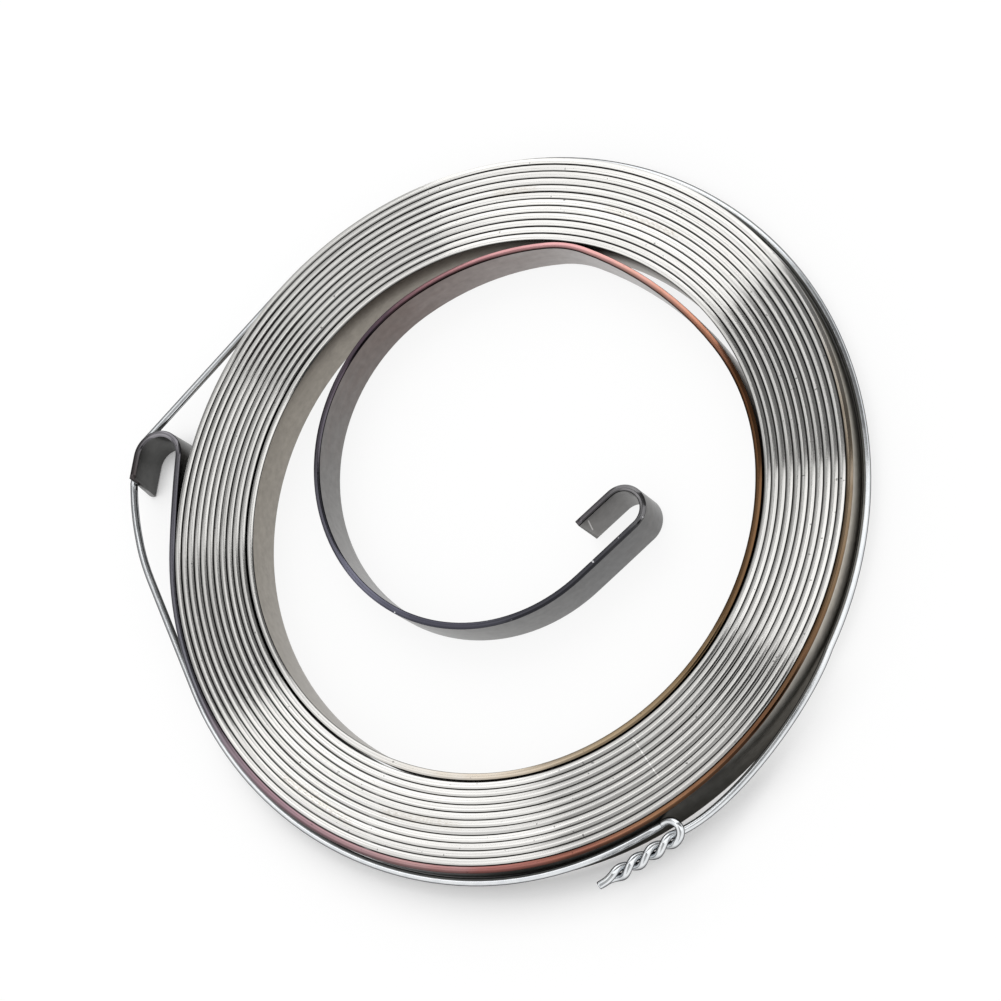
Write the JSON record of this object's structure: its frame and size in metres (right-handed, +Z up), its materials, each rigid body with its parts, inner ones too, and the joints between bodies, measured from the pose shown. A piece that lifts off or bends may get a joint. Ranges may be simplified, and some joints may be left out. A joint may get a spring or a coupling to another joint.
{
  "type": "recoil starter spring",
  "caption": "Flat steel strip wound into a tight round coil with a hook at each end, bound by a twisted wire; it rewinds the rope reel of a pull starter.",
  "frame": {"origin": "on the coil's axis, at the plane of the lower strip edges that the coil lies on", "axes": "+Z up along the coil's axis, -X from the axis to where the outer end leaves the coil for its hook"},
  "size_m": [0.067, 0.0639, 0.0041],
  "materials": {
    "spring_steel": "bright rolled strip with rounded edges, heat tinted at both ends",
    "binding_wire": "bright drawn wire"
  },
  "bodies": {
    "root": {"spring_strip": "spring_steel", "retaining_wire": "binding_wire"}
  },
  "joints": []
}
